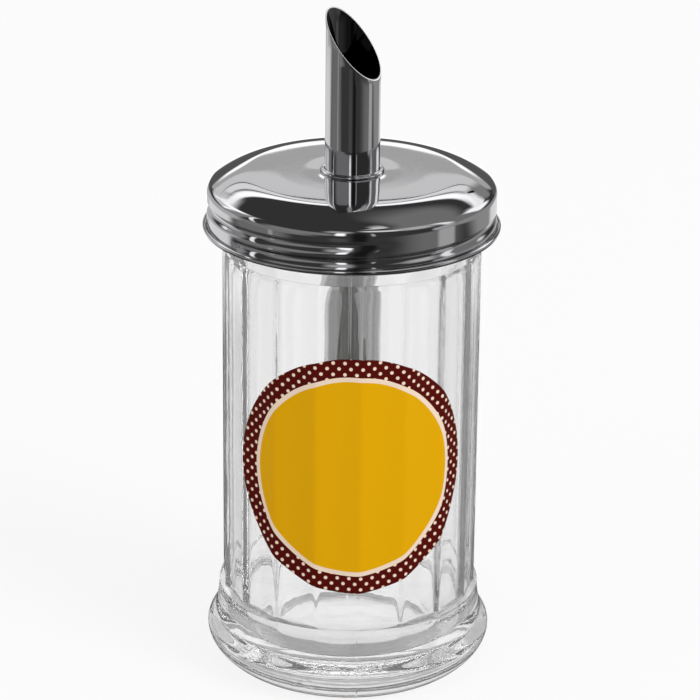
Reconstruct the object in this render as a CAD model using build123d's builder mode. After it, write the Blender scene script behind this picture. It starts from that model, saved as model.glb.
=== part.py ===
from build123d import *

import os
from math import cos, pi, radians, sin, sqrt, tan

# Glass sugar pourer: a fluted jar on a flared foot, a stamped steel lid that screws on, and a steel
# pouring tube that goes through the lid and down into the sugar.
# Millimetres. +Z is up, the origin is the centre of the foot on the table, and the label faces -Y.

# ---- Driving dimensions: wall and neck of the jar ----
body_radius = 33.1  # over the ridges between the flutes
flute_count = 18
flute_phase = 5.0  # degrees from the front to the first ridge
flute_hollow = 0.25  # how far a flute sinks below the flat chord between its ridges
ridge_round = 2.4
mouth_height = 129.9
neck_length = 9.7  # straight neck that the lid screws on
neck_step = 0.6  # neck beyond the ridges
band_length = 15.4  # mouth down to the top of the flutes
band_step = 0.1  # plain band under the neck, beyond the ridges
band_slope = 0.9  # height of the slope from the band in to the flutes
lip_round = 1.2
wall = 3.4  # glass under a ridge
floor_thickness = 9.0
floor_corner = 11.0
core_inset = 0.8  # plain core that the fluted wall is wrapped round

# ---- Driving dimensions: foot of the jar, each step measured from the ring above it ----
collar_step = 0.8  # upright collar beyond the ridges
collar_height = 21.2
ledge_height = 2.2  # sloped ledge from the collar in to the flutes
flare_step = 1.1  # where the foot's hollow flare meets the bulge
flare_height = 13.2
bulge_step = 2.0  # widest line of the foot
bulge_height = 9.0
rest_step = 8.6  # bulge in to the ring that the jar stands on
rest_width = 4.4
recess_slope = 5.0  # width of the slope up into the hollow pressed under the base
recess_depth = 1.6

# ---- Driving dimensions: lid and its seal ----
steel = 0.4  # sheet thickness
thread_room = 2.6  # neck out to the lid's wall
lid_shoulder = 2.8
plate_radius = 16.0  # flat middle of the crown
crown_radius = 183.0  # slow curve round the flat middle
crown_slope = 3.1  # degrees, where the slow curve meets the knuckle
knuckle_slope = 33.0  # degrees, where the knuckle meets the shoulder
lid_skirt = 12.05  # top of the shoulder's round down to the lowest point of the rolled rim
rim_curl = 0.75  # outer radius of the rolled rim
rim_roll = 250.0  # degrees that the rim is rolled through
seal_width = 2.8
seal_inset = 0.5  # from the jar's inner wall out to the seal
seal_thickness = 1.35

# ---- Driving dimensions: pouring tube ----
tube_radius = 7.0
tube_wall = 0.5
tube_gap = 11.0  # from the jar's floor up to the tube's lower end
tube_rise = 41.2  # from the lid's flat middle up to the tip
cut_slope = 50.0  # slant of the mouth, degrees from level
cut_heading = -31.4  # where the mouth's low side points, degrees from +X
bead_reach = 1.2  # pinched beads that hold the tube above and below the lid
bead_height = 1.0

# ---- Driving dimensions: label ----
label_width = 65.0  # measured round the glass
label_height = 63.8
label_centre = 63.4
label_turn = 1.6  # degrees from the front
label_thickness = 0.12
label_points = 24

# ---- Clearances ----
hole_clearance = 0.05
seal_clearance = 0.08

# ---- Derived sizes: jar ----
flute_angle = 360 / flute_count
hollow_radius = body_radius * cos(radians(flute_angle / 2)) - flute_hollow
core_radius = hollow_radius - core_inset
inside_radius = body_radius - wall
neck_radius = body_radius + neck_step
neck_base = mouth_height - neck_length
band_radius = body_radius + band_step
band_top = neck_base - neck_step + band_step
flute_top = mouth_height - band_length
flute_foot = collar_height - ledge_height
collar_radius = body_radius + collar_step
flare_radius = collar_radius + flare_step
bulge_radius = flare_radius + bulge_step
rest_radius = bulge_radius - rest_step
recess_radius = rest_radius - rest_width

# ---- Derived sizes: lid. Three arcs, crown, knuckle and shoulder, run into each other ----
lid_radius = neck_radius + thread_room + steel
seal_inner = inside_radius + seal_inset
seal_outer = seal_inner + seal_width
crown_turn = radians(crown_slope)
knuckle_turn = radians(knuckle_slope)
crown_edge = plate_radius + crown_radius * sin(crown_turn)
shoulder_width = lid_shoulder * (1 - sin(knuckle_turn))
knuckle_radius = (lid_radius - crown_edge - shoulder_width) / (sin(knuckle_turn) - sin(crown_turn))
knuckle_across = crown_edge - knuckle_radius * sin(crown_turn)
seal_top = mouth_height + seal_thickness + seal_clearance
knuckle_centre = seal_top - sqrt((knuckle_radius - steel) ** 2 - (seal_outer - knuckle_across) ** 2)
shoulder_across = lid_radius - lid_shoulder
shoulder_centre = knuckle_centre + (knuckle_radius - lid_shoulder) * cos(knuckle_turn)
crown_centre = knuckle_centre - (crown_radius - knuckle_radius) * cos(crown_turn)
plate_height = crown_centre + crown_radius
rim_centre = shoulder_centre + lid_shoulder - lid_skirt + rim_curl

# ---- Derived sizes: tube ----
tip_height = plate_height + tube_rise
cut_height = tip_height - tube_radius * tan(radians(cut_slope))
tube_bottom = floor_thickness + tube_gap


def ridge_point(turn):
    """Point on the circle over the ridges, at a turn in degrees from +X."""
    return (body_radius * cos(radians(turn)), body_radius * sin(radians(turn)))


def fluted_outline():
    """Section of the fluted wall: hollow arcs that meet in rounded ridges."""
    with BuildSketch() as outline:
        with BuildLine():
            for flute in range(flute_count):
                start = -90 + flute_phase + flute * flute_angle
                middle = radians(start + flute_angle / 2)
                bottom = (hollow_radius * cos(middle), hollow_radius * sin(middle))
                ThreePointArc(ridge_point(start), bottom, ridge_point(start + flute_angle))
        make_face()
        fillet(outline.vertices(), radius=ridge_round)
    return outline.sketch


def sheet_side(depth):
    """One side of the lid's sheet, from the tube's hole to the end of the rolled rim."""
    level = plate_height - depth
    wall_radius = lid_radius - depth
    knuckle_bend, shoulder_bend = crown_slope - knuckle_slope, knuckle_slope - 90
    Line((tube_radius + hole_clearance, level), (plate_radius, level))
    CenterArc((plate_radius, crown_centre), crown_radius - depth, 90, -crown_slope)
    CenterArc((knuckle_across, knuckle_centre), knuckle_radius - depth, 90 - crown_slope, knuckle_bend)
    CenterArc((shoulder_across, shoulder_centre), lid_shoulder - depth, 90 - knuckle_slope, shoulder_bend)
    Line((wall_radius, shoulder_centre), (wall_radius, rim_centre))
    return CenterArc((lid_radius + rim_curl - steel, rim_centre), rim_curl - steel + depth, 180, rim_roll)


def pinched_bead(foot):
    """Outside of a bead, from its upper edge round its nose to its foot on the tube."""
    nose = bead_height / 2
    flank = tube_radius + bead_reach - nose
    Line((tube_radius, foot + bead_height), (flank, foot + bead_height))
    ThreePointArc((flank, foot + bead_height), (flank + nose, foot + nose), (flank, foot))
    Line((flank, foot), (tube_radius, foot))


# ---- Jar: pressed glass, a turned foot and neck with a fluted wall between them ----
with BuildPart() as jar:
    with BuildSketch(Plane.XZ):
        with BuildLine():
            Polyline((0, recess_depth), (recess_radius - recess_slope, recess_depth), (recess_radius, 0),
                     (rest_radius, 0))
            Spline((rest_radius, 0), (bulge_radius, bulge_height),
                   tangents=((1, 0.35), (0, 1)), tangent_scalars=(1.0, 1.15))
            Spline((bulge_radius, bulge_height), (flare_radius, flare_height), (collar_radius, collar_height),
                   tangents=((0, 1), (0, 1)), tangent_scalars=(0.75, 1.0))
            Polyline((collar_radius, collar_height), (core_radius, collar_height + ledge_height),
                     (core_radius, flute_top - band_slope), (band_radius, flute_top),
                     (band_radius, band_top), (neck_radius, neck_base),
                     (neck_radius, mouth_height), (0, mouth_height), (0, recess_depth))
        make_face()
    revolve(axis=Axis.Z)
    lip_edge = jar.edges().filter_by(GeomType.CIRCLE).group_by(Axis.Z)[-1]
    fillet(lip_edge, radius=lip_round)
    with BuildSketch(Plane.XY.offset(flute_foot)):
        add(fluted_outline())
    extrude(amount=flute_top + band_slope - flute_foot)
    with BuildSketch(Plane.XZ):
        with BuildLine():
            corner_foot = (inside_radius - floor_corner, floor_thickness)
            corner_top = (inside_radius, floor_thickness + floor_corner)
            Line((0, floor_thickness), corner_foot)
            RadiusArc(corner_foot, corner_top, -floor_corner)
            Polyline(corner_top, (inside_radius, mouth_height), (0, mouth_height), (0, floor_thickness))
        make_face()
    revolve(axis=Axis.Z, mode=Mode.SUBTRACT)
jar.part.label = "jar"

# ---- Label: printed film that follows the flutes ----
with BuildPart() as label:
    with BuildSketch(Plane.XY.offset(label_centre - label_height / 2)):
        add(fluted_outline())
        offset(amount=label_thickness)
        add(fluted_outline(), mode=Mode.SUBTRACT)
    extrude(amount=label_height)
    facing = radians(label_turn)
    outward = (sin(facing), -cos(facing), 0)
    front = Plane(origin=(0, 0, label_centre), x_dir=(cos(facing), sin(facing), 0), z_dir=outward)
    with BuildSketch(front):
        with BuildLine():
            turns = [2 * pi * step / label_points for step in range(label_points)]
            around = [label_width / 2 * cos(turn) / body_radius for turn in turns]
            up = [label_height / 2 * sin(turn) for turn in turns]
            Spline(*[(body_radius * sin(angle), height) for angle, height in zip(around, up)], periodic=True)
        make_face()
    extrude(amount=body_radius + label_width, mode=Mode.INTERSECT)
label.part.label = "label"

# ---- Lid seal: soft washer on the jar's lip ----
with BuildPart() as lid_seal:
    with BuildSketch(Plane.XY.offset(mouth_height)):
        Circle(seal_outer)
        Circle(seal_inner, mode=Mode.SUBTRACT)
    extrude(amount=seal_thickness)
lid_seal.part.label = "lid_seal"

# ---- Lid cap: one steel stamping with a cushioned crown and a rolled rim ----
with BuildPart() as lid_cap:
    with BuildSketch(Plane.XZ):
        with BuildLine():
            outer_end = sheet_side(0) @ 1
            inner_end = sheet_side(steel) @ 1
            hole_radius = tube_radius + hole_clearance
            Line(outer_end, inner_end)
            Line((hole_radius, plate_height), (hole_radius, plate_height - steel))
        make_face()
    revolve(axis=Axis.Z)
lid_cap.part.label = "lid_cap"

# ---- Pouring tube: drawn steel tube, pinched above and below the lid and cut at a slant ----
with BuildPart() as pour_tube:
    with BuildSketch(Plane.XZ):
        with BuildLine():
            bore = tube_radius - tube_wall
            lower_foot = plate_height - steel - bead_height
            Polyline((tube_radius, lower_foot), (tube_radius, tube_bottom), (bore, tube_bottom),
                     (bore, tip_height), (tube_radius, tip_height), (tube_radius, plate_height + bead_height))
            pinched_bead(plate_height)
            Line((tube_radius, plate_height), (tube_radius, plate_height - steel))
            pinched_bead(lower_foot)
        make_face()
    revolve(axis=Axis.Z)
    heading = radians(cut_heading)
    slope = radians(cut_slope)
    cut_up = (sin(slope) * cos(heading), sin(slope) * sin(heading), cos(slope))
    split(bisect_by=Plane(origin=(0, 0, cut_height), z_dir=cut_up), keep=Keep.BOTTOM)
pour_tube.part.label = "pour_tube"

# ---- Write one STEP file per sub-part ----
os.makedirs("parts", exist_ok=True)
for piece in (jar, label, lid_seal, lid_cap, pour_tube):
    export_step(piece.part, f"parts/{piece.part.label}.step")
print(f"height {tip_height:.2f}, lid's rim {rim_centre - rim_curl:.2f}, lid's crown {plate_height:.2f}")
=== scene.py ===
from math import atan2, cos, degrees, hypot, pi, radians, sin, sqrt, tan

import bmesh
import bpy
from mathutils import Euler, Matrix, Vector, noise
from mathutils.geometry import interpolate_bezier


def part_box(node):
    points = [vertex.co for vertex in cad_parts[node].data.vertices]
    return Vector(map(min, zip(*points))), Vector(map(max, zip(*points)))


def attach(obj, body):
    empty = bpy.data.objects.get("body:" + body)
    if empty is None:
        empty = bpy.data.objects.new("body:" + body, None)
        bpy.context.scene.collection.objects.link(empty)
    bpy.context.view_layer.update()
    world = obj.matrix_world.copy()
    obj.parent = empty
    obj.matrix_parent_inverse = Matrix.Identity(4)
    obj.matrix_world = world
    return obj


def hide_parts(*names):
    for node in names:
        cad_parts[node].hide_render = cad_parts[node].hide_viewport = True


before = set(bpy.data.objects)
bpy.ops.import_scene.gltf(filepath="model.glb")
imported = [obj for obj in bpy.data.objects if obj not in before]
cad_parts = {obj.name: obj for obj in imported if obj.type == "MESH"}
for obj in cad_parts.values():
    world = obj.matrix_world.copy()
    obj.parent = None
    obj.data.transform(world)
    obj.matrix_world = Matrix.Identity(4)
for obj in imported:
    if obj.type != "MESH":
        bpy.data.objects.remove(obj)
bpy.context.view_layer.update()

bl_info = {
    "name": "Glass sugar pourer",
    "version": (1, 0, 0),
    "blender": (4, 5, 0),
    "location": "3D View > Sidebar > Pourer",
    "description": "Fluted glass sugar pourer with a screwed steel lid and a slant-cut pouring tube",
    "category": "Add Mesh",
}

MM = 0.001
JAR_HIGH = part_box("jar")[1]
LABEL_LOW, LABEL_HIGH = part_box("label")
LID_LOW, LID_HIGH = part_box("lid_cap")
TUBE_LOW, TUBE_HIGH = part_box("pour_tube")


# ---- Sizes and colours ----

def length(name, description, default):
    """A size in metres that a user can change."""
    return bpy.props.FloatProperty(name=name, description=description, default=default, unit="LENGTH",
                                   precision=5)


def turn(name, description, default):
    """An angle that a user can change."""
    return bpy.props.FloatProperty(name=name, description=description, default=radians(default),
                                   subtype="ANGLE")


def srgb_to_linear(channel):
    """Linear value of one sRGB channel between 0 and 1."""
    return channel / 12.92 if channel <= 0.04045 else ((channel + 0.055) / 1.055) ** 2.4


def colour_of(hex_value):
    """Linear RGB of an sRGB hex value."""
    return [srgb_to_linear(int(hex_value[place:place + 2], 16) / 255) for place in (0, 2, 4)]


def colour(name, description, hex_value):
    """A colour that a user can change, written as an sRGB hex value."""
    return bpy.props.FloatVectorProperty(name=name, description=description, default=colour_of(hex_value),
                                         subtype="COLOR", min=0, max=1, size=3)


class PourerJarSizes(bpy.types.PropertyGroup):
    """Sizes of the glass jar."""
    body_radius: length("Body radius", "Over the ridges between the flutes", 33.1 * MM)
    flute_count: bpy.props.IntProperty(name="Flutes", description="Hollow flutes round the jar", default=18,
                                       min=3)
    flute_phase: turn("First ridge", "Turn from the front to the first ridge", 5)
    flute_hollow: length("Flute hollow", "How far a flute sinks below its chord", 0.25 * MM)
    ridge_round: length("Ridge rounding", "Radius of the ridge between two flutes", 2.4 * MM)
    flute_top: length("Flute top", "Height where the plain band starts", 114.5 * MM)
    scoop_height: length("Scoop height", "Rounded upper end of a flute", 1.8 * MM)
    scoop_depth: length("Scoop depth", "How much deeper a flute is under the band", 0.45 * MM)
    band_radius: length("Band radius", "Plain band above the flutes", 33.2 * MM)
    band_edge: length("Band edge", "Rounding of the plain band's lower edge", 0.12 * MM)
    neck_radius: length("Neck radius", "Threaded neck inside the lid", 33.7 * MM)
    neck_base: length("Neck base", "Height of the neck's shoulder", 120.2 * MM)
    core_radius: length("Core radius", "Plain wall behind the flutes", 31.55 * MM)
    wall: length("Wall", "Glass under a ridge", 3.4 * MM)
    floor_thickness: length("Floor thickness", "Glass under the sugar", 9.0 * MM)
    floor_corner: length("Floor corner", "Radius where the inner wall meets the floor", 11.0 * MM)
    recess_radius: length("Recess radius", "Hollow pressed up under the base", 24.0 * MM)
    recess_floor: length("Recess floor", "Flat part of that hollow", 19.0 * MM)
    recess_depth: length("Recess depth", "Height of that hollow", 1.6 * MM)
    rest_radius: length("Rest radius", "Outer edge of the ring it stands on", 28.4 * MM)
    bulge_height: length("Bulge height", "Height of the foot's widest line", 9.0 * MM)
    flare_radius: length("Flare radius", "Where the hollow flare meets the bulge", 35.0 * MM)
    flare_height: length("Flare height", "Height of that line", 13.2 * MM)
    collar_radius: length("Collar radius", "Upright collar on the foot", 33.9 * MM)
    collar_height: length("Collar height", "Top of that collar", 21.2 * MM)
    ledge_height: length("Ledge height", "Slope from the collar in to the flutes", 2.2 * MM)
    lip_round: length("Lip rounding", "Radius of the jar's lip", 1.2 * MM)
    seam_height: length("Seam height", "How far the mould's parting line stands proud", 0.2 * MM)
    inner_share: bpy.props.FloatProperty(name="Inner share", default=0.85, min=0, max=1,
                                         description="How far the inner wall follows the flutes")
    wave_height: length("Wave height", "Unevenness of the blown inner wall", 0.11 * MM)


class PourerLidSizes(bpy.types.PropertyGroup):
    """Sizes of the stamped lid and of the tube through it."""
    steel: length("Steel", "Sheet thickness", 0.4 * MM)
    lid_radius: length("Lid radius", "Outside of the lid's wall", 36.7 * MM)
    plate_radius: length("Plate radius", "Flat middle of the crown", 18.0 * MM)
    crown_radius: length("Crown radius", "Slow curve round the flat middle", 146.0 * MM)
    crown_slope: turn("Crown slope", "Slope where the slow curve meets the knuckle", 3.1)
    knuckle_slope: turn("Knuckle slope", "Slope where the knuckle meets the shoulder", 33)
    shoulder: length("Shoulder", "Radius between the knuckle and the wall", 2.8 * MM)
    rim_curl: length("Rim curl", "Outer radius of the rolled rim", 0.75 * MM)
    rim_roll: turn("Rim roll", "How far the rim is rolled round", 250)
    dish_radius: length("Dish radius", "Shallow dish that the bead presses round the hole", 13.0 * MM)
    dish_depth: length("Dish depth", "Depth of that dish", 0.16 * MM)
    seat_radius: length("Seat radius", "Flat seat under the bead", 8.4 * MM)
    thread_start: turn("Thread start", "Turn from the front to the thread's lower end", -53)
    thread_sweep: turn("Thread sweep", "How far round the thread runs", 435)
    thread_pitch: length("Thread pitch", "Rise of the thread in one turn", 3.9 * MM)
    thread_base: length("Thread base", "Upper edge of the groove at the thread's start", 122.9 * MM)
    thread_width: length("Thread width", "Height of the rolled groove", 3.4 * MM)
    thread_depth: length("Thread depth", "Depth of the rolled groove", 0.85 * MM)
    tube_radius: length("Tube radius", "Outside of the pouring tube", 7.0 * MM)
    tube_wall: length("Tube wall", "Thickness of the tube's wall", 0.36 * MM)
    bead_height: length("Bead height", "Height of the pinched bead", 1.0 * MM)
    bead_reach: length("Bead reach", "How far the bead stands out from the tube", 1.1 * MM)
    cut_slope: turn("Cut slope", "Slant of the tube's mouth from level", 50)
    cut_heading: turn("Cut heading", "Where the mouth's low side points, from +X", -31.4)


class PourerLabelSizes(bpy.types.PropertyGroup):
    """Sizes of the printed label."""
    label_width: length("Label width", "Width measured round the glass", 65.0 * MM)
    label_turn: turn("Label turn", "Turn from the front to the label's middle", 1.6)
    film: length("Film", "Thickness of the label's film", 0.10 * MM)
    glue: length("Glue", "Gap between glass and film", 0.02 * MM)
    field_radius: length("Field radius", "Plain middle of the label", 25.9 * MM)
    line_width: length("Line width", "Pale line round the field", 1.2 * MM)
    dot_pitch: length("Dot pitch", "Distance between dots in a row", 3.0 * MM)
    dot_size: length("Dot size", "Diameter of a dot", 0.92 * MM)


class PourerColours(bpy.types.PropertyGroup):
    """Colours of the pourer and its stage."""
    glass: colour("Glass", "Clear flint glass", "FCFCFC")
    steel: colour("Steel", "Polished stainless steel", "D2D2D4")
    raw_steel: colour("Raw steel", "Stainless tube as drawn, inside the jar", "CACACA")
    # The bore's steel colour is darker than the outside's.
    bore_steel: colour("Bore", "Bore of the tube, darker than its outside", "5C5C5E")
    field: colour("Label field", "Yellow printed middle", "E8AC02")
    border: colour("Label border", "Brown printed border", "560F0A")
    dots: colour("Label dots", "Pale dots and line", "F6DFC8")
    paper: colour("Label back", "Back of the printed film", "F8F6F1")
    seal: colour("Seal", "Soft washer in the lid", "E6E5E0")
    floor: colour("Floor", "Pale studio floor", "F4F4F4")


# ---- Mesh helpers ----

def arc(centre, radius, start, end, steps):
    """Points on an arc in the outline's plane, from one angle to another in degrees, ends included."""
    angles = [radians(start + (end - start) * step / steps) for step in range(steps + 1)]
    return [(centre[0] + radius * cos(angle), centre[1] + radius * sin(angle)) for angle in angles]


def run(start, end, steps):
    """Evenly spaced points on a straight line, ends included."""
    return [(start[0] + (end[0] - start[0]) * step / steps,
             start[1] + (end[1] - start[1]) * step / steps) for step in range(steps + 1)]


def bend(start, start_pull, end_pull, end, steps):
    """Points on a Bezier curve whose handles are given as pulls from its two ends."""
    knots = [Vector((start[0], start[1])), Vector((start[0] + start_pull[0], start[1] + start_pull[1])),
             Vector((end[0] + end_pull[0], end[1] + end_pull[1])), Vector((end[0], end[1]))]
    return [(point.x, point.y) for point in interpolate_bezier(*knots, steps + 1)]


def spun(outline, steps):
    """A bmesh of an outline of (radius, height) points, spun a full turn round the Z axis."""
    bm = bmesh.new()
    verts = [bm.verts.new((radius, 0, height)) for radius, height in outline]
    edges = [bm.edges.new(pair) for pair in zip(verts, verts[1:])]
    bmesh.ops.spin(bm, geom=verts + edges, cent=(0, 0, 0), axis=(0, 0, 1), angle=2 * pi, steps=steps,
                   use_merge=True)
    bmesh.ops.remove_doubles(bm, verts=bm.verts, dist=0.002 * MM)
    return bm


def azimuth(co):
    """Turn of a point round the Z axis, from the front (-Y) towards +X."""
    return atan2(co.x, -co.y)


def set_radius(co, radius):
    """Move a point straight out or in to a radius round the Z axis."""
    old = hypot(co.x, co.y)
    co.x *= radius / old
    co.y *= radius / old


def finished(bm, name, body, slot, *nodes):
    """Turn a bmesh into a smooth piece that rides on a body and replaces CAD nodes."""
    bmesh.ops.recalc_face_normals(bm, faces=bm.faces)
    for face in bm.faces:
        face.smooth = True
    mesh = bpy.data.meshes.new(name)
    bm.to_mesh(mesh)
    bm.free()
    piece = bpy.data.objects.new(name, mesh)
    bpy.context.scene.collection.objects.link(piece)
    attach(piece, body)
    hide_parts(*nodes)
    return piece


def smooth_step(low, high, value):
    """0 below low, 1 above high, and a smooth rise between them."""
    share = min(max((value - low) / (high - low), 0), 1)
    return share * share * (3 - 2 * share)


def softer_of(first, second, width):
    """The larger of two values, with the corner between them rounded over a width."""
    blend = max(width - abs(first - second), 0) / width
    return max(first, second) + blend * blend * width / 4


def fluted_radius(sizes, angle):
    """Radius of the fluted wall at a turn from the front."""
    half = pi / sizes.flute_count
    to_ridge = abs((angle - sizes.flute_phase - half) % (2 * half) - half)
    slope = tan(half) + 2 * sizes.flute_hollow / (sizes.body_radius * sin(half))
    soft = sizes.ridge_round * slope
    from_ridge = sqrt((sizes.body_radius * to_ridge) ** 2 + soft * soft) - 0.75 * soft
    from_middle = max(half - from_ridge / sizes.body_radius, 0)
    sink = sizes.flute_hollow * (1 - (from_middle / half) ** 2)
    return (sizes.body_radius * cos(half) - sink) / cos(from_middle)


# ---- Material helpers ----

def add_node(tree, kind, settings=None, links=None):
    """Add a node with its settings, and with its inputs set to values or linked to sockets."""
    node = tree.nodes.new(kind)
    for name, value in (settings or {}).items():
        setattr(node, name, value)
    for name, value in (links or {}).items():
        if isinstance(value, bpy.types.NodeSocket):
            tree.links.new(value, node.inputs[name])
        else:
            node.inputs[name].default_value = value
    return node


def maths(tree, operation, *values, clamp=False):
    """The result of a Math node on sockets or numbers."""
    settings = {"operation": operation, "use_clamp": clamp}
    return add_node(tree, "ShaderNodeMath", settings, dict(enumerate(values))).outputs[0]


def vector_maths(tree, operation, *values):
    """A Vector Math node on sockets or vectors."""
    return add_node(tree, "ShaderNodeVectorMath", {"operation": operation}, dict(enumerate(values)))


def mixed(tree, share, first, second):
    """A number between two others, by a share."""
    links = {0: share, 2: first, 3: second}
    return add_node(tree, "ShaderNodeMix", {"data_type": "FLOAT"}, links).outputs[0]


def mixed_colours(tree, share, first, second):
    """A colour between two others, by a share."""
    links = {0: share, 6: first, 7: second}
    return add_node(tree, "ShaderNodeMix", {"data_type": "RGBA"}, links).outputs[2]


def mixed_shaders(tree, share, first, second):
    """A shader between two others, by a share."""
    return add_node(tree, "ShaderNodeMixShader", None, {0: share, 1: first, 2: second}).outputs[0]


def glow(tree, strength):
    """White light of a strength, sent out by a surface."""
    links = {"Color": (1, 1, 1, 1), "Strength": strength}
    return add_node(tree, "ShaderNodeEmission", None, links).outputs[0]


def fresh_tree(owner):
    """The emptied node tree of a material or world."""
    owner.use_nodes = True
    owner.node_tree.nodes.clear()
    return owner.node_tree


def rgba(linear):
    """A linear RGB colour with full alpha."""
    return (linear[0], linear[1], linear[2], 1)


def pressed_flint_glass(colours):
    """Clear soda-lime glass, pressed and blown in an iron mould: its skin is slightly uneven."""
    material = bpy.data.materials.new("pressed_flint_glass")
    tree = fresh_tree(material)
    place = add_node(tree, "ShaderNodeTexCoord").outputs["Object"]
    chill = add_node(tree, "ShaderNodeTexNoise", None, {"Vector": place, "Scale": 160.0, "Detail": 2.0})
    skin = add_node(tree, "ShaderNodeBump", None,
                    {"Height": chill.outputs["Fac"], "Strength": 0.12, "Distance": 0.3 * MM})
    shader = add_node(tree, "ShaderNodeBsdfPrincipled", None,
                      {"Base Color": rgba(colours.glass), "Transmission Weight": 1.0, "IOR": 1.52,
                       "Roughness": 0.0, "Alpha": 0.93, "Normal": skin.outputs["Normal"]})
    add_node(tree, "ShaderNodeOutputMaterial", None, {"Surface": shader.outputs[0]})
    return material


def polished_steel(colours, name, grain_direction):
    """Stainless steel, drawn and buffed to a mirror: fine rub lines stay along the buffing direction."""
    material = bpy.data.materials.new(name)
    tree = fresh_tree(material)
    place = add_node(tree, "ShaderNodeTexCoord").outputs["Object"]
    along = add_node(tree, "ShaderNodeMapping", None, {"Vector": place, "Scale": grain_direction})
    rub = add_node(tree, "ShaderNodeTexNoise", None,
                   {"Vector": along.outputs[0], "Scale": 900.0, "Detail": 3.0})
    haze = add_node(tree, "ShaderNodeMapRange", None,
                    {"Value": rub.outputs["Fac"], "From Min": 0.35, "From Max": 0.75,
                     "To Min": 0.02, "To Max": 0.06})
    shader = add_node(tree, "ShaderNodeBsdfPrincipled", None,
                      {"Base Color": rgba(colours.steel), "Metallic": 1.0, "Roughness": haze.outputs[0]})
    add_node(tree, "ShaderNodeOutputMaterial", None, {"Surface": shader.outputs[0]})
    return material


def drawn_steel(colours, sizes):
    """Drawn stainless tube: a buffed mirror above the lid, dull as drawn in the jar and dark in the bore."""
    material = polished_steel(colours, "drawn_tube_steel", (4.0, 4.0, 0.3))
    tree = material.node_tree
    shader = next(node for node in tree.nodes if node.type == "BSDF_PRINCIPLED")
    place = next(node for node in tree.nodes if node.type == "TEX_COORD").outputs["Object"]
    height = add_node(tree, "ShaderNodeSeparateXYZ", None, {0: place}).outputs["Z"]
    dull = add_node(tree, "ShaderNodeMapRange", None,
                    {"Value": height, "From Min": LID_HIGH.z - 1 * MM, "From Max": LID_HIGH.z - 3 * MM})
    skin = mixed_colours(tree, dull.outputs[0], rgba(colours.steel), rgba(colours.raw_steel))
    flat = vector_maths(tree, "MULTIPLY", place, (1, 1, 0)).outputs[0]
    from_axis = vector_maths(tree, "LENGTH", flat).outputs["Value"]
    # Darker steel colour inside the bore.
    bore = maths(tree, "LESS_THAN", from_axis, sizes.tube_radius - 0.6 * sizes.tube_wall)
    tint = mixed_colours(tree, bore, skin, rgba(colours.bore_steel))
    tree.links.new(tint, shader.inputs["Base Color"])
    return material


def soft_seal_foam(colours):
    """Cut polyethylene foam: matt, with fine closed cells."""
    material = bpy.data.materials.new("soft_seal_foam")
    tree = fresh_tree(material)
    place = add_node(tree, "ShaderNodeTexCoord").outputs["Object"]
    cells = add_node(tree, "ShaderNodeTexVoronoi", None, {"Vector": place, "Scale": 2500.0})
    dents = add_node(tree, "ShaderNodeBump", None,
                     {"Height": cells.outputs["Distance"], "Strength": 0.3, "Distance": 0.1 * MM})
    shader = add_node(tree, "ShaderNodeBsdfPrincipled", None,
                      {"Base Color": rgba(colours.seal), "Roughness": 0.75,
                       "Normal": dents.outputs["Normal"]})
    add_node(tree, "ShaderNodeOutputMaterial", None, {"Surface": shader.outputs[0]})
    return material


def dot_distance(tree, across, up, pitch, shift):
    """Distance from a point of the label to the nearest dot of one square lattice."""
    offsets = []
    for axis in (across, up):
        cell = maths(tree, "FRACT", maths(tree, "ADD", maths(tree, "DIVIDE", axis, pitch), shift))
        offsets.append(maths(tree, "MULTIPLY", maths(tree, "SUBTRACT", cell, 0.5), pitch))
    squares = [maths(tree, "MULTIPLY", offset, offset) for offset in offsets]
    return maths(tree, "SQRT", maths(tree, "ADD", *squares))


def printed_film(colours, sizes):
    """Gloss-laminated polypropylene in flat inks: a plain field, a thin line and a dotted border."""
    material = bpy.data.materials.new("printed_film")
    tree = fresh_tree(material)
    flat = add_node(tree, "ShaderNodeSeparateXYZ", None,
                    {0: add_node(tree, "ShaderNodeUVMap", {"uv_map": "flat"}).outputs[0]})
    across, up = flat.outputs["X"], flat.outputs["Y"]
    broad = maths(tree, "MULTIPLY", across, (LABEL_HIGH.z - LABEL_LOW.z) / sizes.label_width)
    reach = maths(tree, "SQRT", maths(tree, "ADD", maths(tree, "MULTIPLY", broad, broad),
                                      maths(tree, "MULTIPLY", up, up)))
    near_dot = maths(tree, "MINIMUM", dot_distance(tree, across, up, sizes.dot_pitch, 0.75),
                     dot_distance(tree, across, up, sizes.dot_pitch, 0.25))
    ink_spread = 0.06 * MM
    dot = add_node(tree, "ShaderNodeMapRange", {"interpolation_type": "SMOOTHSTEP"},
                   {"Value": near_dot, "From Min": sizes.dot_size / 2 + ink_spread,
                    "From Max": sizes.dot_size / 2 - ink_spread})
    border = mixed_colours(tree, dot.outputs[0], rgba(colours.border), rgba(colours.dots))
    outside_line = maths(tree, "GREATER_THAN", reach, sizes.field_radius + sizes.line_width)
    framed = mixed_colours(tree, outside_line, rgba(colours.dots), border)
    outside_field = maths(tree, "GREATER_THAN", reach, sizes.field_radius)
    inks = mixed_colours(tree, outside_field, rgba(colours.field), framed)
    shader = add_node(tree, "ShaderNodeBsdfPrincipled", None,
                      {"Base Color": inks, "Roughness": 0.32, "Specular IOR Level": 0.06})
    add_node(tree, "ShaderNodeOutputMaterial", None, {"Surface": shader.outputs[0]})
    return material


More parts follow.
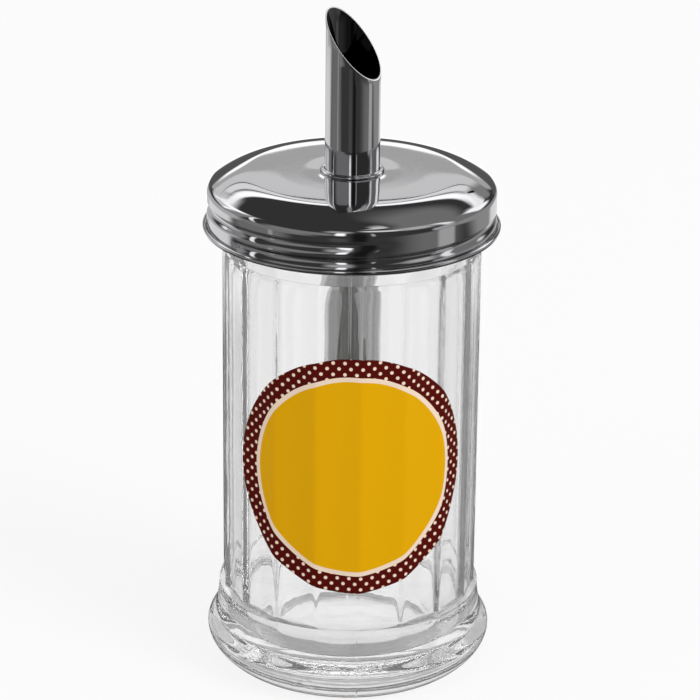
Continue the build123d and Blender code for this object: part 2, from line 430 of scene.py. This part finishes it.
def film_back(colours):
    """White coated back of the printed film, seen through the glass."""
    material = bpy.data.materials.new("film_back")
    tree = fresh_tree(material)
    place = add_node(tree, "ShaderNodeTexCoord").outputs["Object"]
    glue = add_node(tree, "ShaderNodeTexNoise", None, {"Vector": place, "Scale": 300.0, "Detail": 3.0})
    haze = add_node(tree, "ShaderNodeMapRange", None,
                    {"Value": glue.outputs["Fac"], "To Min": 0.35, "To Max": 0.6})
    shader = add_node(tree, "ShaderNodeBsdfPrincipled", None,
                      {"Base Color": rgba(colours.paper), "Roughness": haze.outputs[0]})
    add_node(tree, "ShaderNodeOutputMaterial", None, {"Surface": shader.outputs[0]})
    return material


# ---- Pieces ----

def jar_outline(sizes):
    """Half section of the jar, from the axis under the base, up the outside and down the inside."""
    inside = sizes.body_radius - sizes.wall
    bulge_radius = JAR_HIGH.x
    mouth = JAR_HIGH.z
    ledge_top = (sizes.core_radius, sizes.collar_height + sizes.ledge_height)
    band_foot = (sizes.core_radius, sizes.flute_top - sizes.band_edge)
    outline = run((0, sizes.recess_depth), (sizes.recess_floor, sizes.recess_depth), 4)
    outline += bend(outline[-1], (2 * MM, 0), (-1.5 * MM, 0), (sizes.recess_radius, 0), 8)
    outline += run((sizes.recess_radius + 0.5 * MM, 0), (sizes.rest_radius, 0), 4)
    outline += bend((sizes.rest_radius, 0), (3.4 * MM, 0.6 * MM), (0, -4.2 * MM),
                    (bulge_radius, sizes.bulge_height), 18)
    outline += bend((bulge_radius, sizes.bulge_height), (0, 2.0 * MM), (0.25 * MM, -0.9 * MM),
                    (sizes.flare_radius, sizes.flare_height), 10)
    outline += bend((sizes.flare_radius, sizes.flare_height), (-0.55 * MM, 2.2 * MM), (0, -2.6 * MM),
                    (sizes.collar_radius, sizes.collar_height - 0.5 * MM), 12)
    outline += run((sizes.collar_radius, sizes.collar_height), ledge_top, 12)
    outline += run(ledge_top, (sizes.core_radius, sizes.flute_top - sizes.scoop_height), 34)
    outline += run((sizes.core_radius, sizes.flute_top - 0.9 * sizes.scoop_height), band_foot, 6)
    outline += run(band_foot, (sizes.band_radius - sizes.band_edge, sizes.flute_top), 12)
    outline += run((sizes.band_radius, sizes.flute_top + sizes.band_edge),
                   (sizes.band_radius, sizes.flute_top + 3 * sizes.band_edge), 1)
    outline += run((sizes.band_radius, sizes.flute_top + 0.8 * MM),
                   (sizes.band_radius, sizes.neck_base - 0.5 * MM), 5)
    outline += run((sizes.neck_radius, sizes.neck_base), (sizes.neck_radius, mouth - sizes.lip_round), 5)
    lip = mouth - sizes.lip_round
    outline += arc((sizes.neck_radius - sizes.lip_round, lip), sizes.lip_round, 0, 90, 6)
    outline += arc((inside + sizes.lip_round, lip), sizes.lip_round, 90, 180, 6)
    corner_top = sizes.floor_thickness + sizes.floor_corner
    outline += run((inside, mouth - 2 * sizes.lip_round), (inside, corner_top + 1 * MM), 34)
    outline += arc((inside - sizes.floor_corner, corner_top), sizes.floor_corner, 0, -90, 18)
    outline += run((inside - sizes.floor_corner - 1 * MM, sizes.floor_thickness),
                   (0, sizes.floor_thickness), 8)
    return outline


def draw_in_flutes(bm, sizes):
    """Push the outside of the plain wall out to the flutes, and let the blown inside follow them."""
    low = sizes.collar_height - 0.5 * MM
    high = sizes.flute_top + 0.6 * MM
    scoop_foot = sizes.flute_top - sizes.scoop_height
    floor_top = sizes.floor_thickness
    inner_wall = sizes.body_radius - sizes.wall + 0.3 * MM
    corner_round = 0.15 * MM
    for vert in bm.verts:
        plain = hypot(vert.co.x, vert.co.y)
        fluted = fluted_radius(sizes, azimuth(vert.co))
        if low < vert.co.z < high and plain > sizes.core_radius - 0.5 * MM:
            scoop = sizes.scoop_depth * smooth_step(scoop_foot, sizes.flute_top, vert.co.z)
            set_radius(vert.co, softer_of(plain, fluted - scoop, corner_round))
        elif vert.co.z > floor_top + 0.5 * MM and sizes.core_radius / 2 < plain < inner_wall:
            rise = smooth_step(floor_top, floor_top + 2 * sizes.floor_corner, vert.co.z)
            fall = 1 - smooth_step(sizes.flute_top - 4 * MM, sizes.flute_top + 2 * MM, vert.co.z)
            sink = fluted - sizes.body_radius
            set_radius(vert.co, plain + sink * sizes.inner_share * rise * fall)


def gather_steps_at_ridges(bm, sizes):
    """Turn the mesh's columns towards the ridges, where the wall bends most."""
    gathering = 0.62
    for vert in bm.verts:
        from_ridge = azimuth(vert.co) - sizes.flute_phase
        shift = gathering * sin(sizes.flute_count * from_ridge) / sizes.flute_count
        vert.co.rotate(Euler((0, 0, -shift)))


def raise_seam(bm, sizes):
    """Fine ridges on the parting lines of the mould: of its two halves, and of its foot plate."""
    half_width = radians(0.45)
    mould_seam = (radians(-0.4), sizes.neck_base)
    foot_seam = (radians(4.0), sizes.collar_height)
    for middle, top in (mould_seam, foot_seam):
        for cut_turn in (middle - half_width, middle, middle + half_width):
            bmesh.ops.bisect_plane(bm, geom=bm.verts[:] + bm.edges[:] + bm.faces[:], plane_co=(0, 0, 0),
                                   plane_no=(cos(cut_turn), sin(cut_turn), 0), dist=0.001 * MM)
        for vert in bm.verts:
            off_seam = abs(vert.co.x * cos(middle) + vert.co.y * sin(middle))
            radius = hypot(vert.co.x, vert.co.y)
            outside = radius > sizes.core_radius - 0.5 * MM or vert.co.z < sizes.floor_thickness - 1 * MM
            on_seam = off_seam < 0.02 * MM and radius > sizes.rest_radius and vert.co.z < top
            under_label = vert.co.y < 0 and LABEL_LOW.z - 1 * MM < vert.co.z < LABEL_HIGH.z + 1 * MM
            if on_seam and outside and not under_label:
                set_radius(vert.co, radius + sizes.seam_height)


def wave_inside(bm, sizes):
    """Slow unevenness of the blown inner wall and floor."""
    inside = sizes.body_radius - sizes.wall
    lowest = sizes.floor_thickness - 0.5 * MM
    waves_across, waves_up = 90, 70
    for vert in bm.verts:
        radius = hypot(vert.co.x, vert.co.y)
        if 5 * MM < radius < inside + 0.3 * MM and vert.co.z > lowest:
            sway = noise.noise(Vector((vert.co.x * waves_across, vert.co.y * waves_across,
                                       vert.co.z * waves_up)))
            set_radius(vert.co, radius + sway * sizes.wave_height)


class PourerAddJar(bpy.types.Operator):
    """Add the fluted glass jar"""
    bl_idname = "mesh.pourer_jar"
    bl_label = "Jar"

    def execute(self, context):
        sizes = context.scene.pourer_jar
        steps_per_flute = 16
        bm = spun(jar_outline(sizes), sizes.flute_count * steps_per_flute)
        gather_steps_at_ridges(bm, sizes)
        draw_in_flutes(bm, sizes)
        raise_seam(bm, sizes)
        wave_inside(bm, sizes)
        jar = finished(bm, "jar_glass", "jar", "glass", "jar")
        jar.data.materials.append(pressed_flint_glass(context.scene.pourer_colours))
        return {"FINISHED"}


class PourerAddLabel(bpy.types.Operator):
    """Add the printed label on the front of the flutes"""
    bl_idname = "mesh.pourer_label"
    bl_label = "Label"

    def execute(self, context):
        jar_sizes = context.scene.pourer_jar
        sizes = context.scene.pourer_label
        half_width, half_height = sizes.label_width / 2, (LABEL_HIGH.z - LABEL_LOW.z) / 2
        centre = (LABEL_HIGH.z + LABEL_LOW.z) / 2
        bm = spun([(0, 0)] + run((0.5 * MM / half_width, 0), (1, 0), 60), 320)
        flat = bm.loops.layers.uv.new("flat")
        for vert in bm.verts:
            vert.co = (vert.co.x * half_width, vert.co.y * half_height, 0)
        for face in bm.faces:
            for loop in face.loops:
                loop[flat].uv = (loop.vert.co.x, loop.vert.co.y)
        for vert in bm.verts:
            across, up = vert.co.x, vert.co.y
            angle = sizes.label_turn + across / jar_sizes.body_radius
            out = fluted_radius(jar_sizes, angle) + sizes.glue + sizes.film
            vert.co = (out * sin(angle), -out * cos(angle), centre + up)
        bmesh.ops.recalc_face_normals(bm, faces=bm.faces)
        middle = min(bm.faces, key=lambda face: face.calc_center_median().y)
        if middle.normal.y > 0:
            bmesh.ops.reverse_faces(bm, faces=bm.faces)
        front = bm.faces[:]
        made = bmesh.ops.extrude_face_region(bm, geom=front, use_keep_orig=True)
        back = [item for item in made["geom"] if isinstance(item, bmesh.types.BMFace)]
        for vert in {vert for face in back for vert in face.verts}:
            set_radius(vert.co, hypot(vert.co.x, vert.co.y) - sizes.film)
        for face in bm.faces:
            face.material_index = 0
        for face in back:
            face.material_index = 1
        label = finished(bm, "label_film", "jar", "printed_film", "label")
        label.data.materials.append(printed_film(context.scene.pourer_colours, sizes))
        label.data.materials.append(film_back(context.scene.pourer_colours))
        return {"FINISHED"}


def lid_outline(sizes):
    """Outside of the lid's sheet, from the tube's hole over the crown and down to the rolled rim."""
    plate, crown_turn, knuckle_turn = LID_HIGH.z, sizes.crown_slope, sizes.knuckle_slope
    crown_edge = sizes.plate_radius + sizes.crown_radius * sin(crown_turn)
    knuckle = (sizes.lid_radius - crown_edge - sizes.shoulder * (1 - sin(knuckle_turn))) / (
        sin(knuckle_turn) - sin(crown_turn))
    crown_centre = (sizes.plate_radius, plate - sizes.crown_radius)
    knuckle_centre = (crown_centre[0] + (sizes.crown_radius - knuckle) * sin(crown_turn),
                      crown_centre[1] + (sizes.crown_radius - knuckle) * cos(crown_turn))
    shoulder_centre = (knuckle_centre[0] + (knuckle - sizes.shoulder) * sin(knuckle_turn),
                       knuckle_centre[1] + (knuckle - sizes.shoulder) * cos(knuckle_turn))
    crown_end, knuckle_end = 90 - degrees(crown_turn), 90 - degrees(knuckle_turn)
    rim_z = LID_LOW.z + sizes.rim_curl
    curl = sizes.rim_curl - sizes.steel
    seat = (sizes.seat_radius, plate - sizes.dish_depth)
    outline = run((sizes.tube_radius + 0.05 * MM, seat[1]), seat, 3)
    outline += bend(seat, (0.4 * MM, 0), (-3.0 * MM, 0), (sizes.dish_radius, plate), 16)
    outline += run((sizes.dish_radius, plate), (sizes.plate_radius, plate), 3)
    outline += arc(crown_centre, sizes.crown_radius, 90, crown_end, 14)
    outline += arc(knuckle_centre, knuckle, crown_end, knuckle_end, 24)
    outline += arc(shoulder_centre, sizes.shoulder, knuckle_end, 0, 16)
    outline += run((sizes.lid_radius, shoulder_centre[1] - 0.1 * MM),
                   (sizes.lid_radius, rim_z + 0.1 * MM), 44)
    outline += arc((sizes.lid_radius + curl, rim_z), curl, 180, 180 + degrees(sizes.rim_roll), 14)
    return outline


def groove_depth(sizes, angle, height):
    """Depth of the rolled thread at a turn from the front and a height."""
    depth = 0
    upper_flank, lower_flank = 0.32, 0.42
    start_fade, end_fade = 0.03, 0.5
    first = angle - sizes.thread_start
    for lap in range(-1, 3):
        along = first + 2 * pi * lap
        if along < 0 or along > sizes.thread_sweep:
            continue
        top = sizes.thread_base + sizes.thread_pitch * along / (2 * pi)
        share = (top - height) / sizes.thread_width
        if not 0 < share < 1:
            continue
        section = smooth_step(0, upper_flank, share) * (1 - smooth_step(lower_flank, 1.0, share))
        start = smooth_step(0, start_fade, along)
        end = 1 - smooth_step(sizes.thread_sweep - end_fade, sizes.thread_sweep, along)
        depth = max(depth, sizes.thread_depth * section * start * end)
    return depth


class PourerAddLid(bpy.types.Operator):
    """Add the stamped steel lid with its rolled thread"""
    bl_idname = "mesh.pourer_lid"
    bl_label = "Lid"

    def execute(self, context):
        sizes = context.scene.pourer_lid
        bm = spun(lid_outline(sizes), 320)
        for vert in bm.verts:
            radius = hypot(vert.co.x, vert.co.y)
            if abs(radius - sizes.lid_radius) < 0.01 * MM:
                set_radius(vert.co, radius - groove_depth(sizes, azimuth(vert.co), vert.co.z))
        bmesh.ops.recalc_face_normals(bm, faces=bm.faces)
        crown = max(bm.faces, key=lambda face: face.calc_center_median().z)
        if crown.normal.z < 0:
            bmesh.ops.reverse_faces(bm, faces=bm.faces)
        bmesh.ops.solidify(bm, geom=bm.faces, thickness=sizes.steel)
        lid = finished(bm, "lid_shell", "lid", "polished_steel", "lid_cap")
        steel = polished_steel(context.scene.pourer_colours, "buffed_lid_steel", (1.0, 1.0, 4.0))
        lid.data.materials.append(steel)
        return {"FINISHED"}


def tube_outline(sizes):
    """Half section of the uncut tube, from its upper end down the outside and up the bore."""
    bore = sizes.tube_radius - sizes.tube_wall
    upper_foot = LID_HIGH.z
    lower_foot = upper_foot - sizes.steel - sizes.bead_height
    nose = sizes.bead_height / 2
    flank = sizes.tube_radius + sizes.bead_reach - nose
    top = TUBE_HIGH.z + 5 * MM
    neck = 0.25 * MM
    outline = run((sizes.tube_radius, top), (sizes.tube_radius, upper_foot + nose + neck), 10)
    outline += arc((sizes.tube_radius + neck, upper_foot + nose + neck), neck, 190, 260, 4)
    outline += arc((flank, upper_foot), nose, 90, 0, 8)
    outline += [(sizes.tube_radius, upper_foot), (sizes.tube_radius, upper_foot - sizes.steel)]
    outline += arc((flank, lower_foot + nose), nose, 90, -90, 8)
    outline += run((sizes.tube_radius, lower_foot), (sizes.tube_radius, TUBE_LOW.z + 0.1 * MM), 12)
    outline += run((sizes.tube_radius - 0.1 * MM, TUBE_LOW.z), (bore + 0.1 * MM, TUBE_LOW.z), 1)
    outline += run((bore, TUBE_LOW.z + 0.1 * MM), (bore, top), 16)
    return outline


class PourerAddTube(bpy.types.Operator):
    """Add the slant-cut pouring tube"""
    bl_idname = "mesh.pourer_tube"
    bl_label = "Pouring tube"

    def execute(self, context):
        sizes = context.scene.pourer_lid
        bm = spun(tube_outline(sizes), 192)
        cut_height = TUBE_HIGH.z - sizes.tube_radius * tan(sizes.cut_slope)
        level_part = sin(sizes.cut_slope)
        normal = (level_part * cos(sizes.cut_heading), level_part * sin(sizes.cut_heading),
                  cos(sizes.cut_slope))
        cut = bmesh.ops.bisect_plane(bm, geom=bm.verts[:] + bm.edges[:] + bm.faces[:],
                                     plane_co=(0, 0, cut_height), plane_no=normal, clear_outer=True,
                                     dist=0.0001 * MM)
        rims = [item for item in cut["geom_cut"] if isinstance(item, bmesh.types.BMEdge)]
        made = bmesh.ops.bridge_loops(bm, edges=rims)
        corners = {edge for face in made["faces"] for edge in face.edges if edge in set(rims)}
        bmesh.ops.bevel(bm, geom=list(corners), offset=0.07 * MM, offset_type="OFFSET", segments=2,
                        profile=0.5, affect="EDGES", material=-1, clamp_overlap=True)
        tube = finished(bm, "tube_steel", "lid", "polished_steel", "pour_tube")
        tube.data.materials.append(drawn_steel(context.scene.pourer_colours, sizes))
        return {"FINISHED"}


class PourerDressSeal(bpy.types.Operator):
    """Give the lid's seal its foam"""
    bl_idname = "mesh.pourer_seal"
    bl_label = "Lid seal"

    def execute(self, context):
        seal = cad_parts["lid_seal"]
        seal.data.materials.clear()
        seal.data.materials.append(soft_seal_foam(context.scene.pourer_colours))
        return {"FINISHED"}


# ---- Stage ----

# What polished pieces see of the studio, painted in this order over a dark room. Each patch has its turn
# from the front and its rise over the lid, half its width and height, its lean (all in degrees), the share
# of its size over which its edge fades, and its brightness.
ROOM_LEVEL = 0.045
ROOM_PATCHES = (
    ("ceiling on the right", 112, 58, 56, 15, 0, 0.3, 0.22),
    ("ceiling lamp", 88, 79, 48, 3.2, 0, 0.4, 0.80),
    ("right wall", 100, 22, 24, 30, 0, 0.2, 0.22),
    ("right wall's lit foot", 76, 3, 11, 11, 0, 0.2, 0.45),
    ("front softbox", 32, 53, 20, 7, -18, 0.5, 1.00),
    ("front softbox's side", 64, 44, 13, 13, -20, 0.6, 0.60),
    ("window on the right", 84, 31, 4.5, 15, 0, 0.5, 1.10),
    ("front reflector", -12, 47, 12, 9, -10, 0.5, 0.45),
    ("left wall", 295, 0, 34, 13, 0, 0.3, 0.24),
    ("front wall on the left", 318, 20, 30, 12, 0, 0.3, 0.26),
    ("left wall's side", 254, 20, 9, 24, 0, 0.4, 0.30),
    ("left strip lamp", 267, 30, 2.2, 16, 35, 0.5, 1.20),
    ("far floor on the left", 228, -8, 36, 13, 12, 0.2, 0.55),
    ("far floor on the right", 124, -9, 40, 12, -12, 0.2, 0.34),
    ("left rear softbox", 226, 25, 20, 13, 0, 0.2, 0.78),
    ("left rear softbox's middle", 233, 34, 16, 5, 22, 0.4, 1.50),
    ("left rear softbox's edge", 216, 25, 3, 8, 0, 0.6, 1.30),
    ("left rear softbox's strip", 239, 22, 3, 9, 0, 0.5, 1.40),
    ("right rear softbox", 129, 25, 11, 13, 0, 0.3, 1.40),
    ("right rear reflector", 148, 29, 14, 4.5, -4, 0.3, 1.20),
    ("right rear shade", 158, 22, 9, 5, 0, 0.4, 0.28),
    ("paper", 186, 21, 23, 6, 0, 0.15, 0.76),
    ("paper's lower part", 181, 14.4, 24, 4.1, 0, 0.06, 0.49),
    ("paper's lower edge", 182, 13.6, 15, 1.4, 0, 0.35, 1.50),
    ("shade under the paper", 179, 3.4, 30, 8.8, 0, 0.1, 0.11),
    ("paper's upper part", 184, 28, 22, 4.4, 0, 0.1, 0.95),
    ("paper's first fold", 184, 23.7, 20, 0.35, 0, 0.5, 0.10),
    ("paper's second fold", 184, 29.3, 22, 0.8, 0, 0.5, 0.25),
    ("paper's upper edge", 182, 33.2, 34, 2.4, 0, 0.4, 1.50),
    ("dark stand", 159, 27.2, 1.3, 1.8, -30, 0.4, 0.0),
    ("white floor behind", 181, -14, 17, 10, 0, 0.3, 1.40),
    ("lit floor on the left", 232, -17, 22, 6, 0, 0.3, 0.88),
    ("lit floor on the right", 150, -17, 14, 6, 0, 0.3, 0.85),
    ("dark floor in front", 8, -21, 66, 12, 0, 0.06, 0.05),
    ("floor on the front left", 284, -20, 26, 9, 0, 0.3, 0.20),
    ("light strip on the left", 296, -16, 2, 6, 0, 0.5, 0.40),
    ("light strip in front", 350, -18, 6, 6, 0, 0.6, 0.09),
    ("soft light beside it", 64, -17, 22, 8, 0, 0.8, 0.20),
    ("light strip on the right", 77, -17, 8, 8, 0, 0.25, 0.48),
    ("window in front", 351, 25, 4, 13, 0, 0.4, 1.50),
    ("stand in front", 6, 4, 6, 34, 0, 0.5, 0.012),
    ("thin light in front", 17, 20, 1.5, 12, 0, 0.5, 0.50),
)


def painted_room():
    """A node group that gives the brightness of the studio along a direction from the lid."""
    room = bpy.data.node_groups.new("painted_room", "ShaderNodeTree")
    room.interface.new_socket("Direction", in_out="INPUT", socket_type="NodeSocketVector")
    room.interface.new_socket("Brightness", in_out="OUTPUT", socket_type="NodeSocketFloat")
    axes = add_node(room, "ShaderNodeSeparateXYZ", None, {0: add_node(room, "NodeGroupInput").outputs[0]})
    across = maths(room, "ARCTAN2", axes.outputs["X"], maths(room, "MULTIPLY", axes.outputs["Y"], -1.0))
    turn_now = maths(room, "DEGREES", across)
    rise_now = maths(room, "DEGREES", maths(room, "ARCSINE", axes.outputs["Z"]))
    level = ROOM_LEVEL
    for _, turn_to, rise_to, half_width, half_height, lean, blur, brightness in ROOM_PATCHES:
        off_turn = maths(room, "WRAP", maths(room, "SUBTRACT", turn_now, turn_to), 180.0, -180.0)
        off_rise = maths(room, "SUBTRACT", rise_now, rise_to)
        ahead, aside = cos(radians(lean)), sin(radians(lean))
        shares = (maths(room, "ADD", maths(room, "MULTIPLY", off_turn, ahead / half_width),
                        maths(room, "MULTIPLY", off_rise, aside / half_width)),
                  maths(room, "SUBTRACT", maths(room, "MULTIPLY", off_rise, ahead / half_height),
                        maths(room, "MULTIPLY", off_turn, aside / half_height)))
        fourths = [maths(room, "POWER", maths(room, "ABSOLUTE", share), 4.0) for share in shares]
        reach = maths(room, "POWER", maths(room, "ADD", *fourths), 0.25)
        inside = add_node(room, "ShaderNodeMapRange", {"interpolation_type": "SMOOTHSTEP"},
                          {"Value": reach, "From Min": 1 + blur, "From Max": 1 - blur})
        level = mixed(room, inside.outputs[0], level, brightness)
    add_node(room, "NodeGroupOutput", None, {0: level})
    return room


def room_along(tree, room, direction):
    """Brightness of the painted room along a direction."""
    return add_node(tree, "ShaderNodeGroup", {"node_tree": room}, {0: direction}).outputs[0]


def light_through_glass(tree, path, seen):
    """Whether a ray came through glass, and what it brings: near white, or more of the room once mirrored."""
    straight_darkest, mirrored_darkest = 0.88, 0.34
    came_through = maths(tree, "GREATER_THAN", path.outputs["Transmission Depth"], 0.5)
    sent_on = maths(tree, "GREATER_THAN", path.outputs["Glossy Depth"], 0.5)
    straight, mirrored = [
        add_node(tree, "ShaderNodeMapRange", None, {"Value": seen, "To Min": darkest, "To Max": 1.0})
        for darkest in (straight_darkest, mirrored_darkest)]
    return came_through, mixed(tree, sent_on, straight.outputs[0], mirrored.outputs[0])


def studio_world(context, room):
    """White for the eye, the painted room for what polished steel reflects, and an even light."""
    even_light = 0.62
    world = bpy.data.worlds.new("studio")
    context.scene.world = world
    tree = fresh_tree(world)
    direction = add_node(tree, "ShaderNodeTexCoord").outputs["Generated"]
    seen = room_along(tree, room, direction)
    path = add_node(tree, "ShaderNodeLightPath")
    behind_glass, through = light_through_glass(tree, path, seen)
    level = mixed(tree, path.outputs["Is Glossy Ray"], even_light, seen)
    level = mixed(tree, behind_glass, level, through)
    level = mixed(tree, path.outputs["Is Camera Ray"], level, 1.0)
    light = add_node(tree, "ShaderNodeBackground", None, {"Color": (1, 1, 1, 1), "Strength": level})
    add_node(tree, "ShaderNodeOutputWorld", None, {"Surface": light.outputs[0]})


def sweep_paper(colours, room):
    """Matt white studio paper: it shows white to the eye and keeps the soft shadow; to mirrored rays and
    through glass it glows with painted light and shade from the painted room.
    """
    whiteness = 0.85
    lowering = 0.28
    material = bpy.data.materials.new("sweep_paper")
    tree = fresh_tree(material)
    place = add_node(tree, "ShaderNodeTexCoord").outputs["Object"]
    # Painted reflection: mirrored rays get the painted room's light and shade, looked up along the direction
    # from the lid's lower edge.
    from_lid = vector_maths(tree, "SUBTRACT", place, (0, 0, LID_LOW.z)).outputs[0]
    towards = vector_maths(tree, "NORMALIZE", from_lid).outputs[0]
    seen = room_along(tree, room, towards)
    # Painted light for rays through glass: the room's brightness along a direction from the middle, lowered
    # more the farther away.
    far = vector_maths(tree, "LENGTH", place).outputs["Value"]
    shift = add_node(tree, "ShaderNodeCombineXYZ", None, {"Z": maths(tree, "MULTIPLY", far, -lowering)})
    lowered = vector_maths(tree, "ADD", place, shift.outputs[0]).outputs[0]
    outward = vector_maths(tree, "NORMALIZE", lowered).outputs[0]
    path = add_node(tree, "ShaderNodeLightPath")
    behind_glass, through = light_through_glass(tree, path, room_along(tree, room, outward))
    paper = add_node(tree, "ShaderNodeBsdfDiffuse", None,
                     {"Color": rgba(colours.floor), "Roughness": 1.0}).outputs[0]
    shown = mixed_shaders(tree, whiteness, paper, glow(tree, 1.0))
    shader = mixed_shaders(tree, path.outputs["Is Camera Ray"], paper, shown)
    # Painted reflection: mirrored rays see the paper glow with the painted room's light and shade.
    shader = mixed_shaders(tree, path.outputs["Is Glossy Ray"], shader, glow(tree, seen))
    # Painted light: rays through glass see the paper glow with the room's brightness instead of the lit
    # paper.
    shader = mixed_shaders(tree, behind_glass, shader, glow(tree, through))
    add_node(tree, "ShaderNodeOutputMaterial", None, {"Surface": shader})
    return material


def soft_lamp(name, place, target, size, power):
    """A square softbox that lights the object without showing in its polish."""
    lamp = bpy.data.lights.new(name, "AREA")
    lamp.size = size
    lamp.energy = power
    holder = bpy.data.objects.new(name, lamp)
    bpy.context.scene.collection.objects.link(holder)
    holder.location = place
    holder.rotation_euler = (Vector(target) - Vector(place)).to_track_quat("-Z", "Y").to_euler()
    holder.visible_glossy = False
    holder.visible_transmission = False


class PourerAddStage(bpy.types.Operator):
    """Add the floor, the light and the camera"""
    bl_idname = "scene.pourer_stage"
    bl_label = "Stage"

    def execute(self, context):
        bm = bmesh.new()
        bmesh.ops.create_circle(bm, cap_ends=True, radius=12.0, segments=96)
        mesh = bpy.data.meshes.new("floor")
        bm.to_mesh(mesh)
        bm.free()
        floor_piece = bpy.data.objects.new("floor", mesh)
        context.scene.collection.objects.link(floor_piece)
        room = painted_room()
        floor_piece.data.materials.append(sweep_paper(context.scene.pourer_colours, room))
        studio_world(context, room)
        jar_middle = (0, 0, 0.07)
        soft_lamp("key_softbox", (1.1, -0.8, 0.9), jar_middle, 0.8, 10.0)
        soft_lamp("fill_softbox", (-1.1, -0.7, 0.8), jar_middle, 0.9, 1.5)
        lens = bpy.data.cameras.new("camera")
        lens.lens = 169.5
        lens.sensor_width = 36.0
        camera = bpy.data.objects.new("camera", lens)
        context.scene.collection.objects.link(camera)
        stand = Vector((0, -0.7886, 0.3945))
        aim = Vector((-0.00012, 0, 0.0850))
        upright = (aim - stand).to_track_quat("-Z", "Y").to_matrix().to_4x4()
        roll = Matrix.Rotation(radians(0.57), 4, "Z")
        camera.matrix_world = Matrix.Translation(stand) @ upright @ roll
        context.scene.camera = camera
        context.scene.view_settings.view_transform = "Standard"
        return {"FINISHED"}


class PourerPanel(bpy.types.Panel):
    """Buttons and sizes of the pourer"""
    bl_idname = "VIEW3D_PT_pourer"
    bl_label = "Sugar pourer"
    bl_space_type = "VIEW_3D"
    bl_region_type = "UI"
    bl_category = "Pourer"

    def draw(self, context):
        for operator in PIECE_OPERATORS:
            self.layout.operator(operator.bl_idname)
        for group in GROUPS:
            box = self.layout.box()
            for name in group.__annotations__:
                box.prop(getattr(context.scene, GROUPS[group]), name)


PIECE_OPERATORS = (PourerAddJar, PourerAddLabel, PourerAddLid, PourerAddTube, PourerDressSeal,
                   PourerAddStage)
GROUPS = {
    PourerJarSizes: "pourer_jar",
    PourerLidSizes: "pourer_lid",
    PourerLabelSizes: "pourer_label",
    PourerColours: "pourer_colours",
}


def register():
    for group, name in GROUPS.items():
        bpy.utils.register_class(group)
        setattr(bpy.types.Scene, name, bpy.props.PointerProperty(type=group))
    for cls in PIECE_OPERATORS + (PourerPanel,):
        bpy.utils.register_class(cls)


def unregister():
    for cls in reversed(PIECE_OPERATORS + (PourerPanel,)):
        bpy.utils.unregister_class(cls)
    for group, name in reversed(GROUPS.items()):
        delattr(bpy.types.Scene, name)
        bpy.utils.unregister_class(group)


def main():
    register()
    bpy.ops.scene.pourer_stage()
    bpy.ops.mesh.pourer_jar()
    bpy.ops.mesh.pourer_label()
    bpy.ops.mesh.pourer_lid()
    bpy.ops.mesh.pourer_tube()
    bpy.ops.mesh.pourer_seal()


if __name__ == "__main__":
    main()
